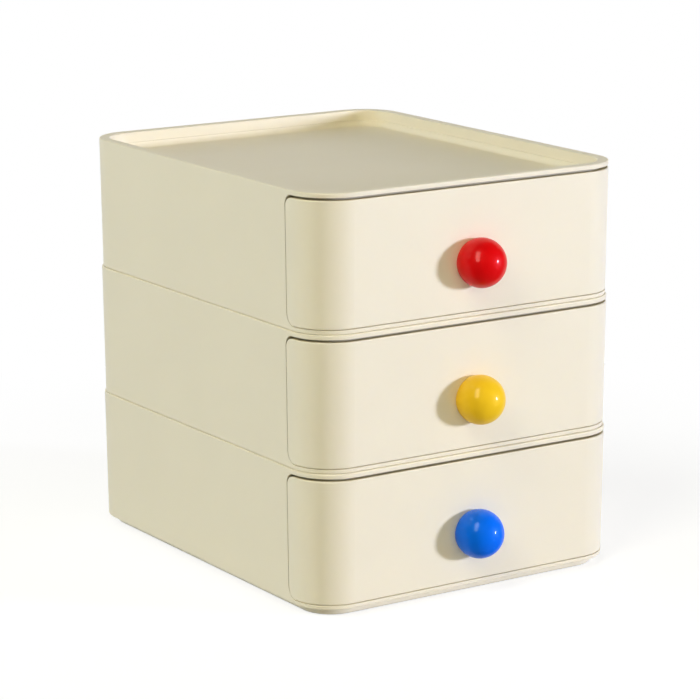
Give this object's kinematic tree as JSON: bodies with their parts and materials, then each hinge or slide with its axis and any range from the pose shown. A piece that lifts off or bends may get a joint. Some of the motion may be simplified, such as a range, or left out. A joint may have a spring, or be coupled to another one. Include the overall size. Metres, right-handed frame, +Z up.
{
  "type": "desktop mini drawers",
  "caption": "Stack of rounded desktop drawer units with tray tops, wrap-round fronts and coloured ball knobs, for small craft and desk items.",
  "frame": {"origin": "on the surface that the stack stands on, under the middle of its bounding box, knobs included", "axes": "+Z up, +Y from the drawer fronts to the back, +X to the right as seen from the fronts; the drawers pull out along -Y"},
  "size_m": [0.15, 0.1982, 0.17],
  "materials": {
    "cream_plastic": "satin moulded",
    "red_plastic": "gloss moulded",
    "yellow_plastic": "gloss moulded",
    "blue_plastic": "gloss moulded",
    "insert_brass": "turned",
    "screw_steel": "zinc plated",
    "foot_rubber": "matte"
  },
  "bodies": {
    "bottom_tier": {"housing_bottom": "cream_plastic", "rubber_feet_bottom": "foot_rubber"},
    "bottom_drawer": {"drawer_tray_bottom": "cream_plastic", "drawer_front_bottom": "cream_plastic", "knob_blue": "blue_plastic", "knob_insert_bottom": "insert_brass", "screw_washer_bottom": "screw_steel", "knob_screw_bottom": "screw_steel"},
    "middle_tier": {"housing_middle": "cream_plastic", "rubber_feet_middle": "foot_rubber"},
    "middle_drawer": {"drawer_tray_middle": "cream_plastic", "drawer_front_middle": "cream_plastic", "knob_yellow": "yellow_plastic", "knob_insert_middle": "insert_brass", "screw_washer_middle": "screw_steel", "knob_screw_middle": "screw_steel"},
    "top_tier": {"housing_top": "cream_plastic", "rubber_feet_top": "foot_rubber"},
    "top_drawer": {"drawer_tray_top": "cream_plastic", "drawer_front_top": "cream_plastic", "knob_red": "red_plastic", "knob_insert_top": "insert_brass", "screw_washer_top": "screw_steel", "knob_screw_top": "screw_steel"}
  },
  "joints": [
    {"name": "slide_bottom_drawer", "type": "slide", "parent": "bottom_tier", "child": "bottom_drawer", "axis": [0, -1, 0], "range_m": [0, 0.13]},
    {"name": "lift_middle", "type": "slide", "parent": "bottom_tier", "child": "middle_tier", "axis": [0, 0, 1], "range_m": [0, 0.03]},
    {"name": "slide_middle_drawer", "type": "slide", "parent": "middle_tier", "child": "middle_drawer", "axis": [0, -1, 0], "range_m": [0, 0.13]},
    {"name": "lift_top", "type": "slide", "parent": "middle_tier", "child": "top_tier", "axis": [0, 0, 1], "range_m": [0, 0.03]},
    {"name": "slide_top_drawer", "type": "slide", "parent": "top_tier", "child": "top_drawer", "axis": [0, -1, 0], "range_m": [0, 0.13]}
  ]
}
